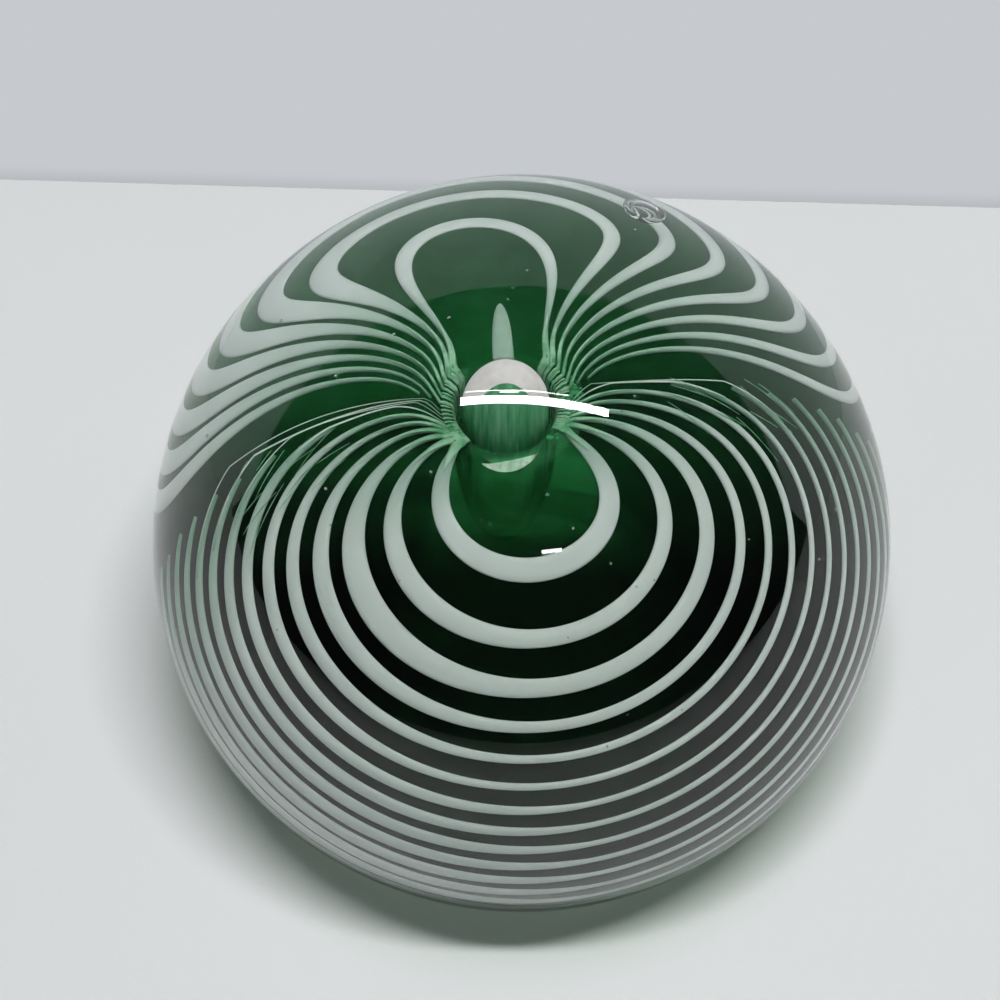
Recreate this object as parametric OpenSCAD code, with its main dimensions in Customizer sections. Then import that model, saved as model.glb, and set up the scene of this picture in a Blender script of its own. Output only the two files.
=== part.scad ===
// Domed glass paperweight: a clear casing over a dark green core, with a white glass trail
// wound round the core and pulled up to the pole on two sides.
// The origin is the middle of the flat base, +Z is up and the first front loop faces -Y.

/* [Casing] */
// Diameter of the clear dome
casing_d = 75; // [73:0.5:90]
// Height of the dome above the flat base
casing_h = 55.5; // [54:0.5:60]
// Width of the polished bevel round the base
foot_bevel = 0.6; // [0.3:0.1:1.5]

/* [Core] */
// Widest diameter of the green core
core_d = 56.8; // [52:0.2:60]
// Height of the core's crown above its widest level
core_crown_h = 34; // [32:0.5:36]
// Height of the core's widest level above the base
core_waist_z = 5; // [3:0.5:7]
// How far the core sits to the left of the middle
core_shift = 1.2; // [0:0.1:2]
// Height of the band at the base where casing and core touch
collar_h = 1.4; // [1:0.1:2]
// Depth of the layer between core and casing that holds the trail
layer_t = 0.8; // [0.75:0.05:1.2]

/* [Dimple and bubbles] */
// Diameter of the dimple's mouth at the pole
mouth_d = 9; // [8.4:0.2:10]
// Diameter of the dimple beside the bubble
throat_d = 8; // [7.6:0.1:8.2]
// Height of the flared lip of the dimple
lip_h = 2.4; // [1.5:0.1:4]
// Depth of the dimple under its mouth
dimple_depth = 19; // [16:0.5:22]
// Width of the ring at the mouth where casing and core touch
seal_w = 0.4; // [0.3:0.1:0.8]
// Width of the central bubble
bubble_d = 6.5; // [5:0.1:6.8]
// Height of the central bubble
bubble_h = 13; // [10:0.5:13.5]
// Height of the central bubble's top above the mouth
bubble_rise = 4.9; // [3:0.1:6]
// Width of the stray bubble
stray_d = 3.4; // [2:0.1:4]
// Depth of the stray bubble's middle under the dome
stray_depth = 10.4; // [9.4:0.1:10.6]

/* [Trail] */
// Thickness of the white trail
trail_t = 0.5; // [0.3:0.05:0.5]
// Width of the trail on its lowest turns
trail_w = 0.58; // [0.4:0.02:0.6]
// Extra width of the first front turn
front_extra_w = 1.4; // [1:0.05:1.6]
// Extra width of the first back turn
back_extra_w = 1; // [0.6:0.05:1.2]
// Width of the trail's drawn ends
end_w = 0.2; // [0.16:0.01:0.24]
// Depth of the first front turn below the top of the core
first_turn_drop = 3.9; // [3.6:0.1:4.8]
// Height of the lowest turn above the base
low_turn_z = 5.2; // [4.6:0.1:5.6]
// Extra height of the first front turn, where the pull stretched it
front_lift = 5.2; // [4.8:0.1:5.6]
// Extra height of the first back turn, where the pull stretched it
back_lift = 5.8; // [5:0.1:6.4]
// Length of the white tip behind the dimple
tip_len = 4.3; // [3.5:0.1:6]
// Width of the white tip at the dimple
tip_w = 1.7; // [1:0.1:2]

/* [Hidden] */

CLEAR = [0.86, 0.92, 0.9, 0.25];
GREEN = [0.04, 0.26, 0.14];
WHITE = [0.9, 0.93, 0.91];

// Number of turns, and the first of each family
FIRST_TURN = 1;
FRONT_TURNS = 14;
BACK_TURNS = 11;

// Smoothness: steps of each profile, and stations along the trail
$fn = 96;
COLLAR_STEPS = 2;
CROWN_STEPS = 26;
DIMPLE_STEPS = 12;
BUBBLE_STEPS = 14;
LOOP_STATIONS = 44;
TIP_STATIONS = 10;

// Casing
overrun = 1;
casing_r = casing_d / 2;
dome_z = casing_h - casing_r;
base_r = sqrt(pow(casing_r, 2) - pow(dome_z, 2));
foot_r = base_r - foot_bevel;

// Core and dimple: a colatitude is an angle from the pole, measured round the core's waist centre
core_r = core_d / 2;
mouth_r = mouth_d / 2;
throat_r = throat_d / 2;
seal_r = mouth_r + seal_w;
mouth_colat = asin(mouth_r / core_r);
seal_colat = asin(seal_r / core_r);
collar_colat = acos((collar_h - core_waist_z) / core_crown_h);
base_colat = acos(-core_waist_z / core_crown_h);
mouth_z = core_waist_z + core_crown_h * cos(mouth_colat);
throat_z = mouth_z - lip_h;
dimple_z = mouth_z - dimple_depth;

// Cavity of the casing: the core's crown with the trail's layer added
cavity_top_colat = asin(seal_r / (core_r + layer_t));
cavity_low_colat = acos((collar_h - core_waist_z) / (core_crown_h + layer_t));

// Bubbles: the central one is an egg whose widest level is a share of its height from its foot
bubble_top_z = mouth_z + bubble_rise;
bubble_waist_share = 0.58;
stray_azimuth_angle = 66;
stray_elevation_angle = 31;

// Trail: every turn was pulled to the pole on two sides, and these seams part the front loops
// from the back loops. A seam is the widest half angle that a loop of its family may reach.
front_axis_angle = -81.2;
back_axis_angle = 97;
tip_axis_angle = 92.5;
front_seam_angle = 98;
back_seam_angle = 78;

// Trail: the turns were wound evenly from the lowest one to the first, before the pull
trail_pitch = (core_waist_z + core_crown_h - first_turn_drop - front_lift - low_turn_z)
    / (FRONT_TURNS - FIRST_TURN);

// Trail: half angle of each loop about its family's axis, from the first turn towards a limit
front_first_angle = 53.2;
front_limit_angle = 121.6;
front_angle_ratio = 0.895;
back_first_angle = 25.6;
back_limit_angle = 155;
back_angle_ratio = 0.92;

// Trail: how fast the stretch falls from one turn to the next, and the extra width of the back
// turns; the first front turns have their own shares of the extra width
front_lift_ratio = 0.73;
back_lift_ratio = 0.58;
back_w_ratio = 0.9;
front_w_shares = [1, 0.67, 0.7, 0.29, 0.12, 0.06];

// Trail: roundness is the power of a loop's superellipse, and the neck is the share of its half
// angle that it loses towards the pole
front_first_power = 2.9;
front_power = 5.3;
front_power_ratio = 0.7;
back_first_power = 3.5;
back_power = 12;
back_power_ratio = 0.19;
front_neck_share = -0.26;
front_neck_ratio = 0.16;
back_neck_share = 0.32;
back_neck_ratio = 0.19;

// Trail: round the mouth the ends lie at even angles, and each family leans by a swirl
front_mouth_angle = 54;
front_mouth_step_angle = 4.05;
back_mouth_angle = 45.5;
back_mouth_step_angle = 7.3;
mouth_power = 3.4;
front_swirl_angle = 9.7;
back_swirl_angle = 6.3;

// Trail: later turns are wider on their shoulders, and more so on the left, where the trail was
// pulled less; all of them taper to their ends, the first front turn only close to the mouth
front_swell_share = 1;
front_swell_ratio = 0.6;
back_swell_share = 0.6;
back_swell_ratio = 0.3;
front_left_share = 5;
front_left_ratio = 0.9;
back_first_left_share = 0.15;
back_left_share = 1.5;
back_left_ratio = 0.2;
front_first_taper_power = 0.5;
front_taper_ratio = 0.4;
taper_power = 1.2;
left_swell_power = 2;
spread_power = 1.5;

// Trail: on the left, a front loop that ends at the seam stays wide almost to its end
seam_taper_power = 0.3;
seam_swell_power = 0.7;

// Half outline of the trail's section, as shares of half its width and half its thickness
SECTION_SHARES = [[1, 0], [0.55, 1], [-0.55, 1], [-1, 0], [-0.55, -1], [0.55, -1]];
SIDES = len(SECTION_SHARES);

// A point of the core's profile at a colatitude, with its surface moved out by grow
function profile_point(colat, grow) = [
    (core_r + grow) * sin(colat),
    core_waist_z + (core_crown_h + grow) * cos(colat)
];

// Points of that profile from one colatitude to another
function profile_arc(from, to, steps, grow) = [
    for (i = [0:steps]) profile_point(from + (to - from) * i / steps, grow)
];

// The dimple from its mouth to its deepest point: a flared lip, then a long rounded pocket
function dimple_curve() = concat(
    [for (i = [1:DIMPLE_STEPS / 2]) let (a = 90 * i / (DIMPLE_STEPS / 2)) [
        throat_r + (mouth_r - throat_r) * (1 - sin(a)),
        mouth_z - lip_h * (1 - cos(a))
    ]],
    [for (i = [1:DIMPLE_STEPS]) let (a = 90 * i / DIMPLE_STEPS) [
        i == DIMPLE_STEPS ? 0 : throat_r * cos(a),
        throat_z - (throat_z - dimple_z) * sin(a)
    ]]
);

// From the collar's top to the pole's axis, both solids share the seal and the dimple
function seal_and_dimple() = concat(
    [profile_point(seal_colat, 0), profile_point(mouth_colat, 0)],
    dimple_curve()
);

module green_core() {
    crown = profile_arc(collar_colat, seal_colat, CROWN_STEPS, 0);
    color(GREEN)
        translate([-core_shift, 0, 0])
            rotate_extrude()
                polygon(concat(
                    [[0, 0]],
                    profile_arc(base_colat, collar_colat, COLLAR_STEPS, 0),
                    [for (i = [1:CROWN_STEPS - 1]) crown[i]],
                    seal_and_dimple()
                ));
}

// The space that the casing leaves for the core and the trail
module core_cavity() {
    foot = profile_point(base_colat, 0);
    rotate_extrude()
        polygon(concat(
            [[0, -overrun], [foot.x, -overrun]],
            profile_arc(base_colat, collar_colat, COLLAR_STEPS, 0),
            profile_arc(cavity_low_colat, cavity_top_colat, CROWN_STEPS, layer_t),
            seal_and_dimple()
        ));
}

module central_bubble() {
    low = bubble_h * bubble_waist_share;
    high = bubble_h - low;
    waist_z = bubble_top_z - high;
    rotate_extrude()
        polygon([
            for (i = [0:BUBBLE_STEPS]) let (a = 180 * i / BUBBLE_STEPS) [
                i == 0 || i == BUBBLE_STEPS ? 0 : bubble_d / 2 * sin(a),
                waist_z + cos(a) * (cos(a) > 0 ? high : low)
            ]
        ]);
}

module stray_bubble() {
    reach = casing_r - stray_depth;
    translate([
        reach * cos(stray_elevation_angle) * cos(stray_azimuth_angle),
        reach * cos(stray_elevation_angle) * sin(stray_azimuth_angle),
        dome_z + reach * sin(stray_elevation_angle)
    ])
        sphere(d = stray_d);
}

module clear_casing() {
    color(CLEAR)
        difference() {
            intersection() {
                translate([0, 0, dome_z]) sphere(r = casing_r);
                cylinder(h = casing_h, r1 = foot_r, r2 = foot_r + casing_h);
            }
            translate([-core_shift, 0, 0]) {
                core_cavity();
                central_bubble();
            }
            stray_bubble();
        }
}

// A place in the middle of the trail's layer, by colatitude and azimuth on the core
function layer_point(colat, azimuth) = let (p = profile_point(colat, layer_t / 2))
    [p.x * cos(azimuth) - core_shift, p.x * sin(azimuth), p.y];

// The direction out of the core at that place
function layer_normal(colat, azimuth) =
    let (n = [sin(colat) / core_r, cos(colat) / core_crown_h])
    [n.x * cos(azimuth), n.x * sin(azimuth), n.y] / norm(n);

// A value that starts at first and nears its limit by the same ratio with each turn
function eased(first, limit, ratio, turn) = limit - (limit - first) * pow(ratio, turn - FIRST_TURN);

// A value that grows by the same step with each turn
function stepped(first, step, turn) = first + step * (turn - FIRST_TURN);

// Height of a turn's middle: an even pitch, and the stretch that the pull left
function turn_z(turns, lift, ratio, turn) =
    low_turn_z + trail_pitch * (turns - turn) + eased(lift, 0, ratio, turn);

// Half angle of a loop at a share of its reach: a superellipse with a neck
function leg_span(span, power, neck, share) =
    span * sqrt(1 - pow(share, power)) * (1 - neck * (1 - share));

// A loop is swept over t, from one drawn end by way of its middle to the other. Its colatitude is
// its reach times cos(t), and near the mouth its legs bend to their own places on the ring.
// Where a leg would cross the seam, the loop ends there. A left leg is on the side of left's sign.
function loop_stations(
    axis, seam, swirl, z, w, span, power, neck, swell, left, taper_power, mouth_span, wide_seam
) =
    let (
        reach = acos((z - core_waist_z) / core_crown_h),
        mouth_share = asin((seal_r + end_w) / core_r) / reach,
        miss = mouth_span - leg_span(span, power, neck, mouth_share),
        width_there = sqrt(1 - pow(mouth_share, 2)),
        pull = function (share) pow(mouth_share / share, mouth_power),
        half = function (share) leg_span(span, power, neck, share)
            + miss * pull(share) * sqrt(1 - pow(share, 2)) / width_there,
        mouth_t = acos(mouth_share),
        crossings = [for (t = [1:mouth_t]) if (half(cos(t)) > seam) t - 1],
        end_t = len(crossings) > 0 ? crossings[0] : mouth_t,
        end_share = cos(end_t)
    )
    [for (i = [0:LOOP_STATIONS])
        let (
            side = 2 * i / LOOP_STATIONS - 1,
            along = pow(abs(side), spread_power),
            t = end_t * along,
            share = cos(t),
            on_left = side * left > 0,
            wide_end = wide_seam && on_left && end_t < mouth_t,
            taper = wide_end ? pow(1 - along, seam_taper_power)
                : pow((share - end_share) / (1 - end_share), taper_power),
            bulge = pow(sin(180 * along), wide_end ? seam_swell_power : left_swell_power),
            shoulder = 1 + swell * pow(sin(t), 2) + (on_left ? abs(left) * bulge : 0)
        )
        [
            reach * share,
            axis + swirl * (share - 0.5) * (1 - pull(share)) + sign(side) * half(share),
            end_w + (w - end_w) * taper * shoulder
        ]
    ];

// The tip is a straight blade from the dimple's mouth, with a rounded end
function tip_stations() =
    let (
        start = asin((seal_r + end_w) / core_r),
        reach = tip_len / core_r * 180 / PI
    )
    [for (i = [0:TIP_STATIONS])
        let (t = i / TIP_STATIONS)
        [start + reach * sin(90 * t), tip_axis_angle, end_w + (tip_w - end_w) * cos(90 * t)]
    ];

// Sweeps the trail's flat section through stations of colatitude, azimuth and width
module trail(stations) {
    last = len(stations) - 1;
    places = [for (s = stations) layer_point(s[0], s[1])];
    rings = [for (i = [0:last])
        let (
            out = layer_normal(stations[i][0], stations[i][1]),
            along = places[min(i + 1, last)] - places[max(i - 1, 0)],
            across = cross(out, along) / norm(cross(out, along))
        )
        for (s = SECTION_SHARES)
            places[i] + across * s.x * stations[i][2] / 2 + out * s.y * trail_t / 2
    ];
    walls = [
        for (i = [0:last - 1]) for (j = [0:SIDES - 1])
            let (
                a = i * SIDES + j,
                b = i * SIDES + (j + 1) % SIDES
            )
            each [[a, b, b + SIDES], [a, b + SIDES, a + SIDES]]
    ];
    first_cap = [for (j = [1:SIDES - 2]) [0, j + 1, j]];
    top = last * SIDES;
    last_cap = [for (j = [1:SIDES - 2]) [top, top + j, top + j + 1]];
    color(WHITE) polyhedron(points = rings, faces = concat(walls, first_cap, last_cap));
}

// Width of a front turn
function front_w(turn) =
    trail_w + (turn > len(front_w_shares) ? 0 : front_extra_w * front_w_shares[turn - FIRST_TURN]);

module front_trail(turn) {
    trail(loop_stations(
        front_axis_angle, front_seam_angle, front_swirl_angle,
        turn_z(FRONT_TURNS, front_lift, front_lift_ratio, turn),
        front_w(turn),
        eased(front_first_angle, front_limit_angle, front_angle_ratio, turn),
        eased(front_first_power, front_power, front_power_ratio, turn),
        eased(0, front_neck_share, front_neck_ratio, turn),
        eased(0, front_swell_share, front_swell_ratio, turn),
        -eased(0, front_left_share, front_left_ratio, turn),
        eased(front_first_taper_power, taper_power, front_taper_ratio, turn),
        stepped(front_mouth_angle, front_mouth_step_angle, turn),
        true
    ));
}

module back_trail(turn) {
    trail(loop_stations(
        back_axis_angle, back_seam_angle, back_swirl_angle,
        turn_z(BACK_TURNS, back_lift, back_lift_ratio, turn),
        eased(trail_w + back_extra_w, trail_w, back_w_ratio, turn),
        eased(back_first_angle, back_limit_angle, back_angle_ratio, turn),
        eased(back_first_power, back_power, back_power_ratio, turn),
        eased(0, back_neck_share, back_neck_ratio, turn),
        eased(0, back_swell_share, back_swell_ratio, turn),
        eased(back_first_left_share, back_left_share, back_left_ratio, turn),
        taper_power,
        stepped(back_mouth_angle, back_mouth_step_angle, turn),
        false
    ));
}

module back_trail_tip() {
    trail(tip_stations());
}

// Name of a turn's node, with two digits
function turn_name(family, turn) = str(family, turn < 10 ? "0" : "", turn);

clear_casing();
green_core();
for (turn = [FIRST_TURN:FRONT_TURNS])
    front_trail(turn);
for (turn = [FIRST_TURN:BACK_TURNS])
    back_trail(turn);
back_trail_tip();
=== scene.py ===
"""Domed glass paperweight: a clear casing over a green core wound with a pulled white trail."""
import math
import random

import bpy
from mathutils import Matrix, Vector


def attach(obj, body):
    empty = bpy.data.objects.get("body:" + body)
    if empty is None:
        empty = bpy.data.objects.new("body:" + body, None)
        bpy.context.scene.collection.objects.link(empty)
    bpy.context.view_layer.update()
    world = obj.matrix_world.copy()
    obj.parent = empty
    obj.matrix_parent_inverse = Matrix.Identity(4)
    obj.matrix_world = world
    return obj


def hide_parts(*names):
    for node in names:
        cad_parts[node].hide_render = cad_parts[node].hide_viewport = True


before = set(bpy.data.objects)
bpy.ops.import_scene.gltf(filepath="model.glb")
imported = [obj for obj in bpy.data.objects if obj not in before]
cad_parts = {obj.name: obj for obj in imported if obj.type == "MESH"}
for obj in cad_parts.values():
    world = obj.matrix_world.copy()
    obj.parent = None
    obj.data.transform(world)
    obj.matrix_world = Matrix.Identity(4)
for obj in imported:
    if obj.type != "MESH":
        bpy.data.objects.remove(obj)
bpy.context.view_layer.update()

# Table sheet and back board: the stage is a pale sheet on a table with a pale board upright behind
# it. Round the foot of the glass the sheet's colour holds a painted shadow, tinted soft green as
# painted light that comes through the glass, and it is painted darker towards the near edge as
# painted shade. The board's foot is painted darker where it meets the sheet, as painted shade. The
# board is seen only from its front, so that it doesn't hide the object in views from behind.
MM = 0.001
SHEET_SIZE = 1.6
SHEET_GAP = 0.15 * MM
SHEET_COLOUR = (0.80, 0.825, 0.83, 1)
SHEET_CLOUD = 0.97
SHEET_NEAR_SHADE = 0.55
SHEET_DIM_Y = -450 * MM
SHEET_FULL_Y = -160 * MM
PAINTED_SHADOW_COLOUR = (0.58, 0.67, 0.6, 1)
PAINTED_SHADOW_FROM = 34 * MM
PAINTED_SHADOW_TO = 42 * MM
GRAIN_H = 0.2 * MM
BOARD_W = 1.2
BOARD_TOP = 103 * MM
BOARD_Y = 62 * MM
BOARD_SINK = 1 * MM
BOARD_TURN = -2.24
BOARD_FOOT = -0.5
BOARD_COLOUR = (0.565, 0.584, 0.617, 1)
JOIN_SHADE_COLOUR = (0.46, 0.485, 0.505, 1)
JOIN_SHADE_H = 4 * MM


def plug(tree, value, socket):
    """Links an output to a socket, or sets the socket to a plain value."""
    if isinstance(value, bpy.types.NodeSocket):
        tree.links.new(value, socket)
    else:
        socket.default_value = value


def add(tree, kind, **sockets):
    """A node of a kind, with a value or an output plugged into its sockets by name."""
    node = tree.nodes.new(kind)
    for name, value in sockets.items():
        plug(tree, value, node.inputs[name.replace("_", " ")])
    return node


def new_material(name):
    """A material, its tree with nothing but an output in it, and that output."""
    material = bpy.data.materials.new(name)
    material.use_nodes = True
    tree = material.node_tree
    tree.nodes.clear()
    return material, tree, tree.nodes.new("ShaderNodeOutputMaterial")


def add_surface(tree, output, **sockets):
    """The shader of a material's surface, with its sockets set by name."""
    shader = add(tree, "ShaderNodeBsdfPrincipled", **sockets)
    plug(tree, shader.outputs["BSDF"], output.inputs["Surface"])


def own_place(tree):
    """The place on a piece, in the piece's own coordinates."""
    return add(tree, "ShaderNodeTexCoord").outputs["Object"]


def axes(tree, place):
    """The X, Y and Z of a place."""
    return add(tree, "ShaderNodeSeparateXYZ", Vector=place).outputs


def add_noise(tree, place, scale, detail, stretch=None):
    """Cloudy noise over a place, drawn out along the axes that a stretch makes small."""
    if stretch:
        place = add(tree, "ShaderNodeMapping", Vector=place, Scale=stretch).outputs["Vector"]
    return add(tree, "ShaderNodeTexNoise", Vector=place, Scale=scale, Detail=detail).outputs["Fac"]


def add_range(tree, value, start, end, low=0, high=1, smooth=False):
    """A value that goes from low to high while another goes from start to end."""
    node = add(
        tree, "ShaderNodeMapRange", Value=value,
        From_Min=start, From_Max=end, To_Min=low, To_Max=high,
    )
    if smooth:
        node.interpolation_type = "SMOOTHSTEP"
    return node.outputs["Result"]


def add_ramp(tree, value, *stops):
    """The colour that a ramp gives a value. Each stop is a position and a colour."""
    node = add(tree, "ShaderNodeValToRGB", Fac=value)
    elements = node.color_ramp.elements
    for element, (position, colour) in zip(elements, (stops[0], stops[-1])):
        element.position = position
        element.color = colour
    for position, colour in stops[1:-1]:
        elements.new(position).color = colour
    return node.outputs["Color"]


def dimmed(tree, colour, share):
    """A colour taken down to a share of itself."""
    node = tree.nodes.new("ShaderNodeVectorMath")
    node.operation = "SCALE"
    plug(tree, colour, node.inputs[0])
    plug(tree, share, node.inputs["Scale"])
    return node.outputs["Vector"]


def mixed(tree, share, first, second):
    """A colour that goes from a first to a second as a share grows."""
    node = tree.nodes.new("ShaderNodeMix")
    node.data_type = "RGBA"
    plug(tree, share, node.inputs["Factor"])
    plug(tree, first, node.inputs["A"])
    plug(tree, second, node.inputs["B"])
    return node.outputs["Result"]


def either(tree, share, first, second):
    """A shader that goes from a first to a second as a share grows."""
    node = tree.nodes.new("ShaderNodeMixShader")
    for socket, value in zip(node.inputs, (share, first, second)):
        plug(tree, value, socket)
    return node.outputs["Shader"]


def dress(piece, material):
    """Gives a piece one material."""
    piece.data.materials.clear()
    piece.data.materials.append(material)


bpy.ops.object.select_all(action="DESELECT")
bpy.ops.mesh.primitive_plane_add(size=SHEET_SIZE, location=(0, 0, -SHEET_GAP))
sheet = bpy.context.object
sheet.name = "table_sheet"
material, tree, output = new_material("matt_sheet")
place = own_place(tree)
cloud = tuple(SHEET_CLOUD * part for part in SHEET_COLOUR[:3]) + (1,)
clouds = add_noise(tree, place, scale=14, detail=3)
colour = add_ramp(tree, clouds, (0.3, cloud), (0.7, SHEET_COLOUR))
# Painted shade: the sheet's colour is darker towards its near edge.
painted_near_shade = add_range(tree, axes(tree, place)["Y"], SHEET_DIM_Y, SHEET_FULL_Y, low=SHEET_NEAR_SHADE)
distance = tree.nodes.new("ShaderNodeVectorMath")
distance.operation = "LENGTH"
plug(tree, place, distance.inputs[0])
# Painted shadow round the foot, tinted green as painted light through the glass.
outside_painted_shadow = add_range(tree, distance.outputs["Value"], PAINTED_SHADOW_FROM, PAINTED_SHADOW_TO, smooth=True)
grain = add_noise(tree, place, scale=1800, detail=2)
relief = add(tree, "ShaderNodeBump", Height=grain, Strength=0.15, Distance=GRAIN_H)
add_surface(
    tree, output, Base_Color=mixed(tree, outside_painted_shadow, PAINTED_SHADOW_COLOUR, dimmed(tree, colour, painted_near_shade)),
    Roughness=0.8, Normal=relief.outputs["Normal"],
)
dress(sheet, material)

bpy.ops.mesh.primitive_plane_add(size=1, rotation=(math.radians(90), 0, math.radians(BOARD_TURN)))
board = bpy.context.object
board.name = "back_board"
board.scale = (BOARD_W, BOARD_TOP, 1)
board.location = (0, BOARD_Y, BOARD_TOP / 2 - BOARD_SINK)
board.visible_diffuse = False
board.visible_shadow = False
material, tree, output = new_material("matt_board")
upward = axes(tree, own_place(tree))["Y"]
# Painted shade: the board is darker in a narrow band where it meets the sheet.
rise = add_range(tree, upward, BOARD_FOOT, BOARD_FOOT + JOIN_SHADE_H / BOARD_TOP, smooth=True)
colour = add_ramp(tree, rise, (0, JOIN_SHADE_COLOUR), (1, BOARD_COLOUR))
front = add(tree, "ShaderNodeEmission", Color=colour, Strength=1).outputs["Emission"]
back = add(tree, "ShaderNodeBsdfTransparent").outputs["BSDF"]
behind = add(tree, "ShaderNodeNewGeometry").outputs["Backfacing"]
plug(tree, either(tree, behind, front, back), output.inputs["Surface"])
dress(board, material)

# Room: pale to the camera and through the glass, plain light for matt surfaces, and dark where
# polished glass mirrors it, as an unlit room is.
ROOM_COLOUR = (0.565, 0.584, 0.617, 1)
GLASS_ROOM_COLOUR = (0.4, 0.415, 0.43, 1)
LIGHT_COLOUR = (1, 1, 1, 1)
ROOM_LIGHT = 0.11
DARK_COLOUR = (0.03, 0.03, 0.035, 1)
DARK_FROM = 0.6
DARK_TO = 0.7


def add_light(tree, colour, strength=1):
    """The plain light of a room."""
    return add(tree, "ShaderNodeBackground", Color=colour, Strength=strength).outputs["Background"]


world = bpy.data.worlds.new("room")
bpy.context.scene.world = world
world.use_nodes = True
tree = world.node_tree
tree.nodes.clear()
output = tree.nodes.new("ShaderNodeOutputWorld")
upward = axes(tree, add(tree, "ShaderNodeTexCoord").outputs["Generated"])["Z"]
dark = add_light(tree, DARK_COLOUR)
ray = add(tree, "ShaderNodeLightPath").outputs
above = add_range(tree, upward, DARK_FROM, DARK_TO)
room = either(tree, above, add_light(tree, GLASS_ROOM_COLOUR), dark)
room = either(tree, ray["Is Diffuse Ray"], room, add_light(tree, LIGHT_COLOUR, ROOM_LIGHT))
room = either(tree, ray["Is Glossy Ray"], room, dark)
room = either(tree, ray["Is Camera Ray"], room, add_light(tree, ROOM_COLOUR))
plug(tree, room, output.inputs["Surface"])

# Lamps: a slim ceiling tube, its fitting and a far window show as streaks on the dome. The tube's
# light comes from two more lamps: the key lamp lights the sheet and throws the shadow, and the
# large soft lamp lights the glass from inside, where a slim one is noisy.
TUBE_HEIGHT = 1.0
LAMPS = {
    "ceiling_tube": {
        "width": 0.73, "length": 0.045, "place": (0.072, 0.172, TUBE_HEIGHT), "turn": -3,
        "power": 5.6, "lights": "glossy",
    },
    "fitting_edge": {
        "width": 0.49, "length": 0.0065, "place": (-0.02, 0.227, TUBE_HEIGHT), "turn": -3,
        "power": 0.3, "lights": "glossy",
    },
    "fitting_end": {
        "width": 0.09, "length": 0.018, "place": (-0.055, 0.222, TUBE_HEIGHT), "turn": -3,
        "power": 0.12, "lights": "glossy",
    },
    "far_window": {
        "width": 0.1, "length": 0.022, "place": (0.151, -0.552, 0.84), "turn": 8,
        "power": 0.2, "lights": "glossy",
    },
    "key_lamp": {
        "width": 0.55, "length": 0.06, "place": (0.1, -0.06, TUBE_HEIGHT), "turn": 0,
        "power": 7.8, "lights": "diffuse",
    },
    "soft_lamp": {
        "width": 0.6, "length": 0.6, "place": (0.16, -0.13, 0.9), "turn": 0,
        "power": 6.4, "lights": "transmission",
    },
}
for name, sizes in LAMPS.items():
    light = bpy.data.lights.new(name, "AREA")
    light.shape = "RECTANGLE"
    light.size = sizes["width"]
    light.size_y = sizes["length"]
    light.energy = sizes["power"]
    lamp = bpy.data.objects.new(name, light)
    bpy.context.collection.objects.link(lamp)
    lamp.location = sizes["place"]
    lamp.rotation_euler = (0, 0, math.radians(sizes["turn"]))
    lamp.visible_glossy = sizes["lights"] == "glossy"
    lamp.visible_diffuse = sizes["lights"] == "diffuse"
    lamp.visible_transmission = sizes["lights"] == "transmission"
    lamp.visible_camera = False

# Camera: it looks down at the dome, with the dome's centre a little right of and below the
# middle of the picture.
DOME_Z = 18 * MM
CAMERA_DISTANCE = 225 * MM
CAMERA_ELEVATION = 58.7
FOCAL_MM = 78.6
SENSOR_MM = 36
CLIP_START = 10 * MM
TURN_LEFT = 0.551
TILT_UP = 1.102
camera_data = bpy.data.cameras.new("camera")
camera_data.lens = FOCAL_MM
camera_data.sensor_width = SENSOR_MM
camera_data.clip_start = CLIP_START
camera = bpy.data.objects.new("camera", camera_data)
bpy.context.collection.objects.link(camera)
lift = math.radians(CAMERA_ELEVATION)
eye = (0, -CAMERA_DISTANCE * math.cos(lift), DOME_Z + CAMERA_DISTANCE * math.sin(lift))
camera.matrix_world = (
    Matrix.Translation(eye)
    @ Matrix.Rotation(math.radians(90) - lift, 4, "X")
    @ Matrix.Rotation(math.radians(TURN_LEFT), 4, "Y")
    @ Matrix.Rotation(math.radians(TILT_UP), 4, "X")
)
bpy.context.scene.camera = camera
bpy.context.scene.view_settings.view_transform = "Standard"

# Clear casing: a dome of colourless glass gathered over the core, ground flat underneath and
# polished. The central air bubble lies in its dimple, a small stray bubble at the back right,
# and seed bubbles as fine as dust all round.
CASING_R = 37.5 * MM
CASING_SEGMENTS = 192
CASING_RINGS = 96
FOOT_BEVEL = 0.6 * MM
FOOT_STEPS = 3
FOOT_SHARP = 12
CORE_SHIFT = 1.2 * MM
BUBBLE_R = 3.25 * MM
BUBBLE_WAIST_Z = 37.97 * MM
BUBBLE_UP = 5.46 * MM
BUBBLE_DOWN = 7.54 * MM
STRAY_R = 1.7 * MM
STRAY_PLACE = (9.447 * MM, 21.22 * MM, 31.957 * MM)
CAVITY_SEGMENTS = 64
CAVITY_RINGS = 48
SEEDS = 34
SEED_START = 11
SEED_RADII = (0.07, 0.15)
SEED_STRETCH = (0.8, 1.5)
SEED_SPREAD = (0.25, 0.85)
SEED_REACH = 29.4 * MM
SEED_BASE_Z = 5 * MM
SEED_TOP_Z = 40.6 * MM
CLEAR_COLOUR = (0.985, 1, 0.992, 1)
CLEAR_TINT = (0.1, 0.6, 0.2, 1)
CLEAR_DENSITY = 2.6
HANDLING_WEAR = 0.02


def select_where(piece, test):
    """In edit mode, selects the vertices of a piece that pass a test, and nothing else."""
    bpy.ops.mesh.select_all(action="DESELECT")
    bpy.ops.mesh.select_mode(type="VERT")
    bpy.ops.object.mode_set(mode="OBJECT")
    for vertex in piece.data.vertices:
        vertex.select = test(vertex.co)
    bpy.ops.object.mode_set(mode="EDIT")


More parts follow.
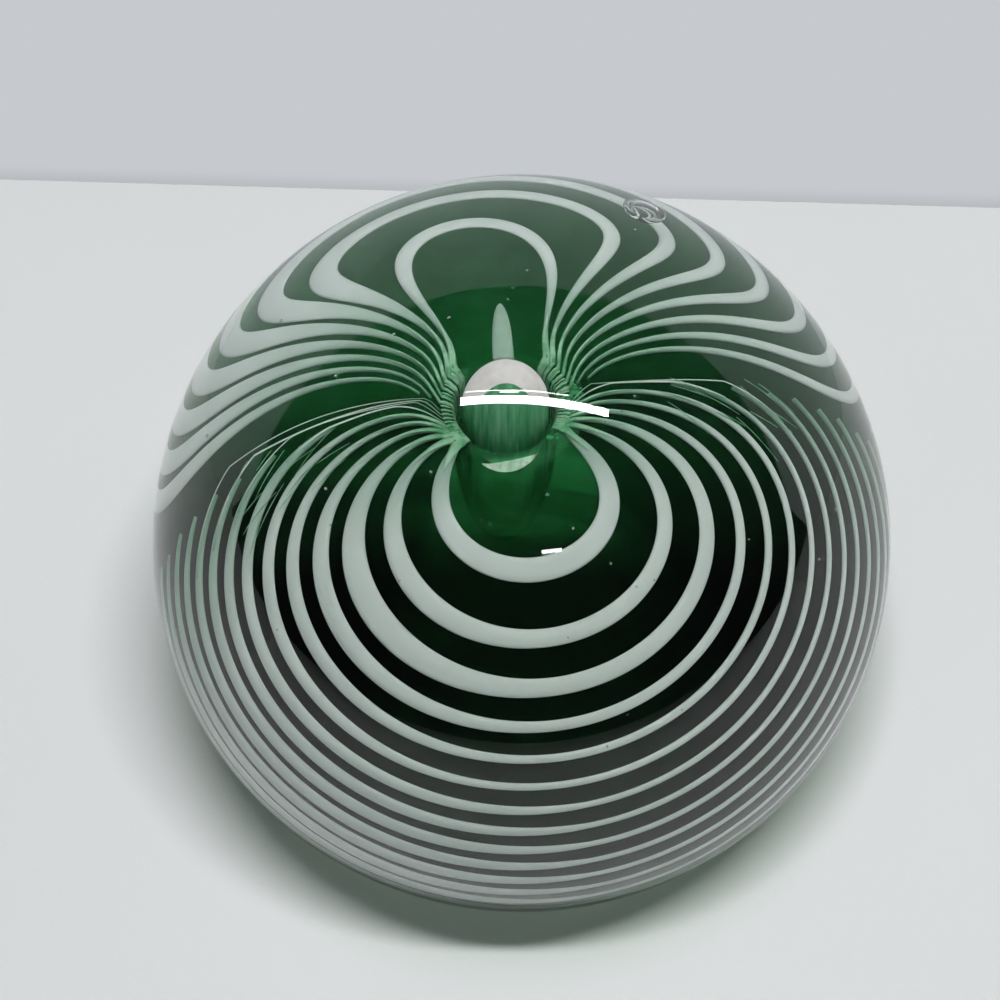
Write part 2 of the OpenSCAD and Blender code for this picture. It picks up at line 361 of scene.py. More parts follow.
def pick(*pieces):
    """Selects pieces and nothing else, and makes the last of them active."""
    bpy.ops.object.select_all(action="DESELECT")
    for piece in pieces:
        piece.select_set(True)
    bpy.context.view_layer.objects.active = pieces[-1]


def settle(piece, name):
    """Names a piece and puts its place into its mesh."""
    pick(piece)
    bpy.ops.object.transform_apply(location=True, rotation=True, scale=True)
    piece.name = name
    piece.data.name = name


def add_cavity(radius, place, up, down):
    """An egg-shaped air cavity in glass: its faces point into the air."""
    bpy.ops.object.select_all(action="DESELECT")
    bpy.ops.mesh.primitive_uv_sphere_add(
        segments=CAVITY_SEGMENTS, ring_count=CAVITY_RINGS, radius=radius, location=place
    )
    cavity = bpy.context.object
    bpy.ops.object.transform_apply(location=True)
    bpy.ops.object.mode_set(mode="EDIT")
    for stretch, sign in ((up, 1), (down, -1)):
        select_where(cavity, lambda co: (co.z - place[2]) * sign > radius * MM)
        bpy.ops.transform.resize(value=(1, 1, stretch / radius), center_override=place)
    bpy.ops.mesh.select_all(action="SELECT")
    bpy.ops.mesh.flip_normals()
    bpy.ops.object.mode_set(mode="OBJECT")
    bpy.ops.object.shade_smooth()
    return cavity


bpy.ops.object.select_all(action="DESELECT")
bpy.ops.mesh.primitive_uv_sphere_add(
    segments=CASING_SEGMENTS, ring_count=CASING_RINGS, radius=CASING_R, location=(0, 0, DOME_Z)
)
casing = bpy.context.object
settle(casing, "casing")
bpy.ops.object.mode_set(mode="EDIT")
bpy.ops.mesh.select_all(action="SELECT")
bpy.ops.mesh.bisect(plane_co=(0, 0, 0), plane_no=(0, 0, 1), use_fill=True, clear_inner=True)
bpy.ops.mesh.bevel(offset=FOOT_BEVEL, segments=FOOT_STEPS, affect="EDGES")
bpy.ops.object.mode_set(mode="OBJECT")
bpy.ops.object.shade_smooth_by_angle(angle=math.radians(FOOT_SHARP))
bubble = add_cavity(BUBBLE_R, (-CORE_SHIFT, 0, BUBBLE_WAIST_Z), BUBBLE_UP, BUBBLE_DOWN)
stray = add_cavity(STRAY_R, STRAY_PLACE, STRAY_R, STRAY_R)
scatter = random.Random(SEED_START)
seeds = []
for k in range(SEEDS):
    across = scatter.uniform(*SEED_SPREAD) * SEED_REACH
    azimuth = scatter.uniform(0, 2 * math.pi)
    height = SEED_BASE_Z + (SEED_TOP_Z - SEED_BASE_Z) * math.sqrt(1 - (across / SEED_REACH) ** 2)
    place = (across * math.cos(azimuth) - CORE_SHIFT, across * math.sin(azimuth), height)
    size = scatter.uniform(*SEED_RADII) * MM
    bpy.ops.object.select_all(action="DESELECT")
    bpy.ops.mesh.primitive_ico_sphere_add(subdivisions=2, radius=size, location=place)
    seed = bpy.context.object
    bpy.ops.object.transform_apply(location=True)
    bpy.ops.object.mode_set(mode="EDIT")
    bpy.ops.mesh.select_all(action="SELECT")
    stretch = scatter.uniform(*SEED_STRETCH)
    bpy.ops.transform.resize(value=(1, 1, stretch), center_override=place)
    bpy.ops.mesh.flip_normals()
    bpy.ops.object.mode_set(mode="OBJECT")
    bpy.ops.object.shade_smooth()
    seeds.append(seed)
pick(bubble, stray, *seeds, casing)
bpy.ops.object.join()

material, tree, output = new_material("polished_clear_glass")
wear = add_noise(tree, own_place(tree), scale=60, detail=4)
add_surface(
    tree, output, Base_Color=CLEAR_COLOUR, IOR=1.5, Transmission_Weight=1,
    Roughness=add_range(tree, wear, 0.45, 0.8, high=HANDLING_WEAR),
)
tint = add(tree, "ShaderNodeVolumeAbsorption", Color=CLEAR_TINT, Density=CLEAR_DENSITY)
plug(tree, tint.outputs["Volume"], output.inputs["Volume"])
dress(casing, material)
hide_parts("clear_casing")
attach(casing, "root")

# Green core: dark green glass with a dimple pressed into its top, which traps the bubble. The
# casing is fused to it, so light passes between them without a bend. At the shoulders beside the
# first front loop its colour is painted nearly black, as painted shade, and its flat foot is
# painted dark towards the front, as painted shade for the shadowed sheet under it.
CORE_R = 28.4 * MM
CORE_SEGMENTS = 128
CORE_RINGS = 96
CORE_SHARP = 35
CROWN_H = 34 * MM
WAIST_Z = 5 * MM
CORE_FOOT = 0.06 * MM
MOUTH_R = 4.5 * MM
THROAT_R = 4 * MM
LIP_H = 2.4 * MM
DIMPLE_DEPTH = 19 * MM
LIP_STEPS = 8
POCKET_STEPS = 16
CORE_TINT = (0.03, 0.6, 0.32, 1)
CORE_DENSITY = 47
STREAK_DARK = (0.62, 0.86, 0.68, 1)
STREAK_PALE = (0.93, 1, 0.95, 1)
GROUND_PAINTED_SHADE = 0.05
GROUND_DIM_Y = 7.5 * MM
GROUND_CLEAR_Y = 22 * MM
GROUND_FROM = 0.2 * MM
GROUND_TO = 0.6 * MM
FIRST_LOOP_AXIS = 81.2
FIRST_LOOP_HALF = 53.2
FIRST_LOOP_REACH = 27.7
FIRST_LOOP_POWER = 2.9
LOOP_INSIDE = 0.85
LOOP_OUTSIDE = 1.1
SHOULDER_PAINTED_SHADE = ((0.12, 1), (0.24, 0.08), (0.5, 0.08), (0.58, 0.25), (0.72, 0.6), (1, 1))
FOOT_FROM = 1 * MM
FOOT_TO = 2 * MM
WALL_FROM = 4.6 * MM
WALL_TO = 5.2 * MM


def crown_z(radius):
    """Height of the core's outside at a radius from its axis."""
    return WAIST_Z + CROWN_H * math.sqrt(1 - (radius / CORE_R) ** 2)


bpy.ops.object.select_all(action="DESELECT")
bpy.ops.mesh.primitive_uv_sphere_add(
    segments=CORE_SEGMENTS, ring_count=CORE_RINGS, radius=CORE_R,
    location=(-CORE_SHIFT, 0, WAIST_Z), scale=(1, 1, CROWN_H / CORE_R),
)
core = bpy.context.object
settle(core, "core")
mouth_z = crown_z(MOUTH_R)
throat_z = mouth_z - LIP_H
dimple_z = mouth_z - DIMPLE_DEPTH
rings = []
for step in range(1, LIP_STEPS + 1):
    turn = math.radians(90 * step / LIP_STEPS)
    ring_r = THROAT_R + (MOUTH_R - THROAT_R) * (1 - math.sin(turn))
    rings.append((ring_r, mouth_z - LIP_H * (1 - math.cos(turn))))
for step in range(1, POCKET_STEPS):
    turn = math.radians(90 * step / POCKET_STEPS)
    rings.append((THROAT_R * math.cos(turn), throat_z - (throat_z - dimple_z) * math.sin(turn)))
bpy.ops.object.mode_set(mode="EDIT")
bpy.ops.mesh.select_all(action="SELECT")
bpy.ops.mesh.bisect(plane_co=(0, 0, CORE_FOOT), plane_no=(0, 0, 1), use_fill=True, clear_inner=True)
bpy.ops.mesh.select_all(action="SELECT")
bpy.ops.mesh.bisect(plane_co=(0, 0, mouth_z), plane_no=(0, 0, 1), clear_outer=True)
last_r, last_z = MOUTH_R, mouth_z
for ring_r, ring_z in rings:
    bpy.ops.mesh.extrude_region_move(TRANSFORM_OT_translate={"value": (0, 0, ring_z - last_z)})
    ratio = ring_r / last_r
    bpy.ops.transform.resize(value=(ratio, ratio, 1), center_override=(-CORE_SHIFT, 0, ring_z))
    last_r, last_z = ring_r, ring_z
bpy.ops.mesh.extrude_region_move(TRANSFORM_OT_translate={"value": (0, 0, dimple_z - last_z)})
bpy.ops.mesh.merge(type="CENTER")
bpy.ops.mesh.select_all(action="SELECT")
bpy.ops.mesh.normals_make_consistent(inside=False)
bpy.ops.object.mode_set(mode="OBJECT")
bpy.ops.object.shade_smooth_by_angle(angle=math.radians(CORE_SHARP))


def reckon(tree, operation, *values):
    """The result of a math operation on one or two values."""
    node = tree.nodes.new("ShaderNodeMath")
    node.operation = operation
    for socket, value in zip(node.inputs, values):
        plug(tree, value, socket)
    return node.outputs["Value"]


def near_axis(tree, place, inner, outer):
    """1 within an inner radius of the upright axis, which falls to 0 at an outer radius."""
    parts = axes(tree, place)
    squares = [reckon(tree, "POWER", parts[name], 2) for name in ("X", "Y")]
    return add_range(tree, reckon(tree, "ADD", *squares), inner ** 2, outer ** 2, low=1, high=0)


material, tree, output = new_material("dark_green_glass")
place = own_place(tree)
streaks = add_noise(tree, place, scale=260, detail=3, stretch=(1, 1, 0.12))
streaks = add_ramp(tree, streaks, (0.35, STREAK_DARK), (0.65, STREAK_PALE))
parts = axes(tree, place)
# Painted shade: the core's flat foot is painted dark except at the back, where the sheet beneath is
# lit.
back = add_range(tree, parts["Y"], GROUND_DIM_Y, GROUND_CLEAR_Y, low=GROUND_PAINTED_SHADE, smooth=True)
clear = reckon(tree, "MAXIMUM", back, add_range(tree, parts["Z"], GROUND_FROM, GROUND_TO))
turn = math.radians(FIRST_LOOP_AXIS)
faced = add(
    tree, "ShaderNodeMapping", Vector=place, Rotation=(0, 0, turn),
    Location=(CORE_SHIFT * math.cos(turn), CORE_SHIFT * math.sin(turn), 0),
).outputs["Vector"]
parts = axes(tree, faced)
azimuth = reckon(tree, "ABSOLUTE", reckon(tree, "ARCTAN2", parts["Y"], parts["X"]))
height = reckon(tree, "DIVIDE", reckon(tree, "SUBTRACT", parts["Z"], WAIST_Z), CROWN_H)
across = reckon(tree, "DIVIDE", azimuth, math.radians(FIRST_LOOP_HALF))
down = reckon(tree, "DIVIDE", reckon(tree, "ARCCOSINE", height), math.radians(FIRST_LOOP_REACH))
outside = reckon(
    tree, "ADD", reckon(tree, "POWER", across, 2), reckon(tree, "POWER", down, FIRST_LOOP_POWER)
)
# Painted shade: the shoulders beside the first front loop are painted nearly black; the loop, the
# foot and the dimple's wall are kept out of it.
shoulder_shade_stops = [(position, (share, share, share, 1)) for position, share in SHOULDER_PAINTED_SHADE]
shade = add_ramp(tree, reckon(tree, "DIVIDE", azimuth, math.pi), *shoulder_shade_stops)
for unshaded in (
    add_range(tree, outside, LOOP_INSIDE, LOOP_OUTSIDE, low=1, high=0),
    add_range(tree, parts["Z"], FOOT_FROM, FOOT_TO, low=1, high=0),
    near_axis(tree, faced, WALL_FROM, WALL_TO),
):
    shade = reckon(tree, "MAXIMUM", shade, unshaded)
add_surface(
    tree, output, Base_Color=dimmed(tree, streaks, reckon(tree, "MULTIPLY", clear, shade)),
    Roughness=0, IOR=1, Transmission_Weight=1,
)
body = add(tree, "ShaderNodeVolumeAbsorption", Color=CORE_TINT, Density=CORE_DENSITY)
plug(tree, body.outputs["Volume"], output.inputs["Volume"])
dress(core, material)
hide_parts("green_core")
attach(core, "root")

# White trail: one thread of opal white glass was wound round the core from the top down, then
# pulled to the pole at two sides, so that each turn parts into a front and a back loop.
LAYER_T = 0.8 * MM
TRAIL_T = 0.5 * MM
TRAIL_W = 0.58
END_W = 0.2
LOW_TURN_Z = 5.2
PITCH = 1.9
SEAL_R = 4.9
MOUTH_COLAT = math.asin((SEAL_R + END_W) * MM / CORE_R)
LOOP_STATIONS = 180
SECTION_POINTS = 12
FRONT = {
    "name": "front_trail", "turns": 14, "axis": -81.2, "seam": 98, "swirl": 9.7, "left_sign": -1,
    "wide_seam": True,
    "lift": (5.2, 0, 0.73), "span": (53.2, 121.6, 0.895), "power": (2.9, 5.3, 0.7),
    "neck": (0, -0.26, 0.16), "swell": (0, 1, 0.6), "left": (0, 5, 0.9),
    "taper": (0.5, 1.2, 0.4), "mouth": (54, 4.05),
    "extra_width": 1.4, "width_shares": (1, 0.67, 0.7, 0.29, 0.12, 0.06),
}
BACK = {
    "name": "back_trail", "turns": 11, "axis": 97, "seam": 78, "swirl": 6.3, "left_sign": 1,
    "wide_seam": False,
    "lift": (5.8, 0, 0.58), "span": (25.6, 155, 0.92), "power": (3.5, 12, 0.19),
    "neck": (0, 0.32, 0.19), "swell": (0, 0.6, 0.3), "left": (0.15, 1.5, 0.2),
    "taper": (1.2, 1.2, 1), "mouth": (45.5, 7.3),
    "extra_width": 1, "width_shares": [0.9 ** turn for turn in range(11)],
}
MOUTH_POWER = 3.4
SPREAD_POWER = 1.5
SEAM_TAPER_POWER = 0.3
SEAM_SWELL_POWER = 0.7
TRAIL_WHITE = (0.73, 0.79, 0.76, 1)
TRAIL_THIN = (0.22, 0.42, 0.3, 1)
THIN_FROM = 0.34
LOW_PAINTED_SHADE = 0.5
LOW_DIM_Z = 6 * MM
LOW_FULL_Z = 10.5 * MM


def eased(values, turn):
    """A value that starts at its first and nears its limit by the same ratio with each turn."""
    first, limit, ratio = values
    return limit - (limit - first) * ratio ** (turn - 1)


def layer_point(colat, azimuth, out=0):
    """A place in the trail's layer round the core, moved out by a distance, in metres."""
    radius = CORE_R + LAYER_T / 2 + out
    height = CROWN_H + LAYER_T / 2 + out
    flat = radius * math.sin(colat)
    return Vector((
        flat * math.cos(azimuth) - CORE_SHIFT,
        flat * math.sin(azimuth),
        WAIST_Z + height * math.cos(colat),
    ))


def layer_normal(colat, azimuth):
    """The direction out of the core at that place."""
    flat = math.sin(colat) / CORE_R
    return Vector((
        flat * math.cos(azimuth), flat * math.sin(azimuth), math.cos(colat) / CROWN_H
    )).normalized()


def loop_law(family, turn):
    """What the pull made of one turn: its reach, its ends, and half its angle at a share of it."""
    z = (LOW_TURN_Z + PITCH * (family["turns"] - turn) + eased(family["lift"], turn)) * MM
    span = eased(family["span"], turn)
    power = eased(family["power"], turn)
    neck = eased(family["neck"], turn)
    first_mouth, mouth_step = family["mouth"]
    reach = math.acos((z - WAIST_Z) / CROWN_H)
    mouth_share = MOUTH_COLAT / reach

    def leg(share):
        return span * math.sqrt(max(0, 1 - share ** power)) * (1 - neck * (1 - share))

    def pull(share):
        return (mouth_share / share) ** MOUTH_POWER

    def half(share):
        miss = first_mouth + mouth_step * (turn - 1) - leg(mouth_share)
        bend = math.sqrt(max(0, 1 - share ** 2) / (1 - mouth_share ** 2))
        return leg(share) + miss * pull(share) * bend

    mouth_turn = math.degrees(math.acos(mouth_share))
    end_turn = mouth_turn
    for degree in range(1, int(mouth_turn) + 1):
        if half(math.cos(math.radians(degree))) > family["seam"]:
            end_turn = degree - 1
            break
    return {
        "reach": reach, "mouth_turn": mouth_turn, "end_turn": end_turn, "half": half, "pull": pull
    }


def leg_azimuth(family, law, share, side, most=math.inf):
    """Azimuth of a loop's leg on one side at a share of its reach."""
    lean = family["swirl"] * (share - 0.5) * (1 - law["pull"](share))
    return math.radians(family["axis"] + lean + math.copysign(min(most, law["half"](share)), side))


def loop_stations(family, turn):
    """Colatitude, azimuth and width along one loop, from one drawn end to the other."""
    law = loop_law(family, turn)
    swell = eased(family["swell"], turn)
    left = eased(family["left"], turn)
    taper_power = eased(family["taper"], turn)
    width = TRAIL_W
    if turn <= len(family["width_shares"]):
        width += family["extra_width"] * family["width_shares"][turn - 1]
    end_share = math.cos(math.radians(law["end_turn"]))
    stations = []
    for i in range(LOOP_STATIONS + 1):
        side = 2 * i / LOOP_STATIONS - 1
        along = abs(side) ** SPREAD_POWER
        t = math.radians(law["end_turn"] * along)
        share = math.cos(t)
        on_left = side * family["left_sign"] > 0
        wide_end = on_left and family["wide_seam"] and law["end_turn"] < law["mouth_turn"]
        if wide_end:
            taper = (1 - along) ** SEAM_TAPER_POWER
            bulge = max(0, math.sin(math.pi * along)) ** SEAM_SWELL_POWER
        else:
            taper = max(0, (share - end_share) / (1 - end_share)) ** taper_power
            bulge = math.sin(math.pi * along) ** 2
        shoulder = 1 + swell * math.sin(t) ** 2 + (left * bulge if on_left else 0)
        stations.append((
            law["reach"] * share, leg_azimuth(family, law, share, side),
            (END_W + (width - END_W) * taper * shoulder) * MM,
        ))
    return stations


def layer_run(stations, out=0):
    """Places, outward directions and widths in the trail's layer, from a loop's stations."""
    places = [layer_point(colat, azimuth, out) for colat, azimuth, width in stations]
    ups = [layer_normal(colat, azimuth) for colat, azimuth, width in stations]
    return places, ups, [width for colat, azimuth, width in stations]


def build(name, points, faces):
    """A smooth piece from its points and faces."""
    mesh = bpy.data.meshes.new(name)
    mesh.from_pydata(points, [], faces)
    mesh.polygons.foreach_set("use_smooth", [True] * len(mesh.polygons))
    piece = bpy.data.objects.new(name, mesh)
    bpy.context.collection.objects.link(piece)
    return piece


def strands(name, runs, thickness, corners):
    """Flat strands with rounded edges, one for each run of places, outward directions and widths,
    with a UV map whose U runs along a strand and whose V runs across it."""
    points, faces, marks = [], [], []
    for places, ups, widths in runs:
        first = len(points)
        last = len(places) - 1
        for i, (place, up, width) in enumerate(zip(places, ups, widths)):
            along = places[min(i + 1, last)] - places[max(i - 1, 0)]
            across = up.cross(along).normalized()
            for j in range(corners):
                turn = 2 * math.pi * j / corners
                reach = across * math.cos(turn) * width / 2
                points.append(place + reach + up * math.sin(turn) * thickness / 2)
                marks.append((i / last, 0.5 + 0.5 * math.cos(turn)))
        for i in range(last):
            for j in range(corners):
                a = first + i * corners + j
                b = first + i * corners + (j + 1) % corners
                faces.append((a, b, b + corners, a + corners))
        faces.append(tuple(first + j for j in reversed(range(corners))))
        faces.append(tuple(first + last * corners + j for j in range(corners)))
    piece = build(name, points, faces)
    layer = piece.data.uv_layers.new(name="strand")
    for loop in piece.data.loops:
        layer.data[loop.index].uv = marks[loop.vertex_index]
    return piece


def along_strand(tree):
    """How far along its strand a point is, from 0 to 1."""
    strand = add(tree, "ShaderNodeUVMap")
    strand.uv_map = "strand"
    return axes(tree, strand.outputs["UV"])["X"]


opal_trail, tree, output = new_material("opal_white_trail")
from_middle = reckon(tree, "ABSOLUTE", reckon(tree, "SUBTRACT", along_strand(tree), 0.5))
colour = add_ramp(tree, from_middle, (THIN_FROM, TRAIL_WHITE), (0.5, TRAIL_THIN))
# Painted shade: the trail's colour is darker on its lowest turns, near the sheet.
low_painted_shade = add_range(tree, axes(tree, own_place(tree))["Z"], LOW_DIM_Z, LOW_FULL_Z, low=LOW_PAINTED_SHADE)
add_surface(
    tree, output, Base_Color=dimmed(tree, colour, low_painted_shade),
    Roughness=0.6, IOR=1.5, Specular_IOR_Level=0,
)

for family in (FRONT, BACK):
    for turn in range(1, family["turns"] + 1):
        node_name = f"{family['name']}_{turn:02d}"
        run = layer_run(loop_stations(family, turn))
        loop = strands(f"{node_name}_glass", [run], TRAIL_T, SECTION_POINTS)
        dress(loop, opal_trail)
        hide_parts(node_name)
        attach(loop, "root")

# White tip: the trail began behind the dimple, where its drawn end lies on the core as a short
# blade of the same white glass, so thin that the green shows through.
TIP_LEN = 4.3 * MM
TIP_W = 1.7
TIP_AXIS = 92.5
TIP_STATIONS = 40
TIP_FOOT_R = 3.75 * MM
TIP_DARK = (0.34, 0.5, 0.39, 1)
TIP_PALE = (0.42, 0.56, 0.46, 1)

tip_start = math.asin(TIP_FOOT_R / CORE_R)
tip_reach = TIP_LEN / CORE_R + MOUTH_COLAT - tip_start
tip_stations = []
for i in range(TIP_STATIONS + 1):
    turn = math.radians(90 * i / TIP_STATIONS)
    tip_stations.append((
        tip_start + tip_reach * math.sin(turn), math.radians(TIP_AXIS),
        (END_W + (TIP_W - END_W) * math.cos(turn)) * MM,
    ))
tip = strands("back_trail_tip_glass", [layer_run(tip_stations)], TRAIL_T, SECTION_POINTS)
material, tree, output = new_material("thin_white_tip")
clouds = add_noise(tree, own_place(tree), scale=420, detail=3)
add_surface(
    tree, output, Base_Color=add_ramp(tree, clouds, (0.3, TIP_DARK), (0.7, TIP_PALE)),
    Roughness=0.4, IOR=1.5, Specular_IOR_Level=0,
)
dress(tip, material)
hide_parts("back_trail_tip")
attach(tip, "root")

# Mouth threads: every drawn end runs on over the mouth's edge and down the dimple's wall as a
# fine thread, green where the white has worn thin, with finer ones drawn from the core between.
WALL_GAP = 0.16 * MM
LIP_PATH = ((4.85, 0.3), (4.62, 0.22), (4.5, 0.06))
WALL_TURN = 4
WALL_LEAN = 0.9
WALL_THINNING = 0.7
THREAD_T = 0.1 * MM
THREAD_CORNERS = 6
THREAD_SPACING = 4.4
THREAD_STATIONS = 26
THREAD_W = 0.12 * MM
THREAD_LEAN = 5
THREAD_FOOT_Z = 31 * MM
THREAD_FOOT_STEP = 0.8 * MM
END_WIDTHS = (0.7, 0.5, 0.38, 0.3)
LATE_END_W = 0.24
END_STATIONS = 12
END_OVERLAP = 12
END_POINT = 0.2
END_GROWTH = 0.7
END_OUT = 0.3 * MM
END_FOOT_Z = 35 * MM
END_LEAN = 4
FULL_TURN = 360
FIRST_BACK_END = 45.5
FIRST_FRONT_END = 54
THREAD_DARK = (0.1, 0.36, 0.17, 1)
THREAD_PALE = (0.34, 0.64, 0.42, 1)
THREAD_WHITE = (0.5, 0.68, 0.55, 1)
WHITE_SHARE = 0.85
WHITE_TO = 0.3


def wall_profile(foot_z):
    """Radius and height along the dimple's wall, from the end of the trail's layer to a level."""
    profile = [((SEAL_R + END_W) * MM, layer_point(MOUTH_COLAT, 0).z)]
    profile += [(r * MM, mouth_z + rise * MM) for r, rise in LIP_PATH]
    profile += [(r - WALL_GAP, z) for r, z in rings if z > foot_z]
    return profile


def along_profile(profile, share):
    """The point at a share of a profile's length."""
    lengths = [0]
    for (r0, z0), (r1, z1) in zip(profile, profile[1:]):
        lengths.append(lengths[-1] + math.hypot(r1 - r0, z1 - z0))
    target = share * lengths[-1]
    i = next(i for i in range(1, len(profile)) if lengths[i] >= target)
    part = (target - lengths[i - 1]) / (lengths[i] - lengths[i - 1])
    (r0, z0), (r1, z1) = profile[i - 1], profile[i]
    return r0 + (r1 - r0) * part, z0 + (z1 - z0) * part


def wall_run(azimuth, width, foot_z, swirl):
    """A thread down the dimple's wall from an azimuth in degrees, leaning by a swirl."""
    profile = wall_profile(foot_z)
    places, ups, widths = [], [], []
    for i in range(THREAD_STATIONS + 1):
        share = i / THREAD_STATIONS
        r, z = along_profile(profile, share)
        angle = math.radians(azimuth + swirl * share)
        places.append(Vector((r * math.cos(angle) - CORE_SHIFT, r * math.sin(angle), z)))
        tilt = min(1, share * WALL_TURN)
        up = Vector((-math.cos(angle) * tilt, -math.sin(angle) * tilt, 1 - tilt * WALL_LEAN))
        ups.append(up.normalized())
        widths.append(width * (1 - WALL_THINNING * share))
    return places, ups, widths


runs = []
for family in (FRONT, BACK):
    for turn in range(1, family["turns"] + 1):
        law = loop_law(family, turn)
        if law["end_turn"] < law["mouth_turn"]:
            continue
        for side in (-1, 1):
            end_share = math.cos(math.radians(law["end_turn"]))
            azimuth = math.degrees(leg_azimuth(family, law, end_share, side))
            wide = END_WIDTHS[turn - 1] if turn <= len(END_WIDTHS) else LATE_END_W
            wide *= family["extra_width"] if side * family["left_sign"] > 0 else 1
            stations = []
            for i in range(END_STATIONS):
                grown = (i + END_POINT) / END_STATIONS
                share = math.cos(math.radians(law["end_turn"] - END_OVERLAP * (1 - grown)))
                stations.append((
                    law["reach"] * share, leg_azimuth(family, law, share, side),
                    wide * grown ** END_GROWTH * MM,
                ))
            edge = layer_run(stations, END_OUT)
            wall = wall_run(azimuth, wide * MM, END_FOOT_Z, END_LEAN * side)
            runs.append([over + down for over, down in zip(edge, wall)])
for first, last, lean in (
    (BACK["axis"] + FIRST_BACK_END, FRONT["axis"] + FULL_TURN - FIRST_FRONT_END, THREAD_LEAN),
    (FRONT["axis"] + FIRST_FRONT_END, BACK["axis"] - FIRST_BACK_END, -THREAD_LEAN),
):
    for k in range(int((last - first) / THREAD_SPACING) + 1):
        foot = THREAD_FOOT_Z + (k * 7 % 5) * THREAD_FOOT_STEP
        runs.append(wall_run(first + k * THREAD_SPACING, THREAD_W, foot, lean))
mouth_threads = strands("mouth_threads", runs, THREAD_T, THREAD_CORNERS)

green_threads, tree, output = new_material("pale_green_threads")
patches = add_noise(tree, own_place(tree), scale=700, detail=2)
colour = add_ramp(tree, patches, (0.35, THREAD_DARK), (0.62, THREAD_PALE))
start = add_range(tree, along_strand(tree), 0, WHITE_TO, low=WHITE_SHARE, high=0)
add_surface(
    tree, output, Base_Color=mixed(tree, start, colour, THREAD_WHITE),
    Roughness=0.5, IOR=1.5, Specular_IOR_Level=0,
)
dress(mouth_threads, green_threads)
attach(mouth_threads, "root")

# Throat film: where the bubble was trapped, the dimple's wall keeps a streaky film of pale green
# drawn down from the mouth, dense round the throat and thin further down.
FILM_GAP = 0.05 * MM
FILM_T = 0.03 * MM
FILM_SEGMENTS = 96
FILM_EDGE = (6.2 * MM, 5.8 * MM, 5.3 * MM, 4.8 * MM)
FILM_FOOT_Z = 23 * MM
FILM_FULL_Z = 35 * MM
FILM_DARK = (0.03, 0.16, 0.07, 1)
FILM_PALE = (0.07, 0.34, 0.14, 1)
FILM_COVER = (0.45, 0.95)
FRONT_GAP_COVER = 0.25
FRONT_GAP_Y = (-3.45 * MM, -2.9 * MM)
BACK_GAP_Y = (2.4 * MM, 3.6 * MM)
FILM_FADE_R = 5.2 * MM


def face_out(piece):
    """Turns all of a closed piece's faces outwards."""
    pick(piece)
    bpy.ops.object.mode_set(mode="EDIT")
    bpy.ops.mesh.select_all(action="SELECT")
    bpy.ops.mesh.normals_make_consistent(inside=False)
    bpy.ops.object.mode_set(mode="OBJECT")


outline = [(r, crown_z(r) + FILM_GAP) for r in FILM_EDGE]
outline += [(r - FILM_GAP, z) for r, z in rings[1:] if z > FILM_FOOT_Z]
outline += [(r - FILM_T, z) for r, z in reversed(outline)]
points, faces = [], []
for r, z in outline:
    for j in range(FILM_SEGMENTS):
        angle = 2 * math.pi * j / FILM_SEGMENTS
        points.append((r * math.cos(angle) - CORE_SHIFT, r * math.sin(angle), z))
for i in range(len(outline)):
    above = i * FILM_SEGMENTS
    below = (i + 1) % len(outline) * FILM_SEGMENTS
    for j in range(FILM_SEGMENTS):
        beside = (j + 1) % FILM_SEGMENTS
        faces.append((above + j, below + j, below + beside, above + beside))
film = build("throat_film", points, faces)
face_out(film)

material, tree, output = new_material("streaky_green_film")
place = own_place(tree)
parts = axes(tree, place)
streaks = add_noise(tree, place, scale=2200, detail=3, stretch=(1, 1, 0.07))
rise = add_range(tree, parts["Z"], FILM_FOOT_Z, FILM_FULL_Z)
cover = reckon(tree, "MULTIPLY", add_range(tree, streaks, 0.4, 0.66, *FILM_COVER), rise)
front_gap = add_range(tree, parts["Y"], *FRONT_GAP_Y, low=FRONT_GAP_COVER)
back_gap = add_range(tree, parts["Y"], *BACK_GAP_Y, low=1, high=0)
worn = reckon(tree, "MULTIPLY", front_gap, back_gap)
worn = reckon(tree, "MULTIPLY", worn, near_axis(tree, place, FILM_FADE_R, FILM_EDGE[0]))
add_surface(
    tree, output, Base_Color=add_ramp(tree, rise, (0.1, FILM_DARK), (0.85, FILM_PALE)),
    Roughness=0.5, IOR=1.5, Specular_IOR_Level=0, Alpha=reckon(tree, "MULTIPLY", cover, worn),
)
dress(film, material)
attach(film, "root")

# Seam threads: along the two seams the later turns were drawn out between the two pulls, and run
# on to the mouth as thin threads above the wider ones, with short green wisps torn off beside them.
SEAM_THREAD_W = 0.24
SEAM_THREAD_T = 0.07 * MM
SEAM_THINNING = 0.6
SEAM_FINE = 0.6
SEAM_OUT = 0.33 * MM
SEAM_FIRST = 7
SEAM_LASTS = {-1: 10, 1: 8}
SEAM_STEPS = {-1: 1.15, 1: 0.45}
SEAM_STATIONS = 48
SEAM_OVERLAP = 9
SWAY = 2
SWAY_SHIFT = 2.3
SWAY_TURNS = 5
WISPS = 16
WISP_START = 5
WISP_COLATS = (24, 44)
WISP_ASIDE = (-14, 3)
WISP_LENGTHS = (3, 8)
WISP_LEANS = (0.5, 2.5)
WISP_OUT = (-0.1, 0.05)
WISP_W = 0.08
WISP_BLUNT = 0.08
WISP_STEPS = 8

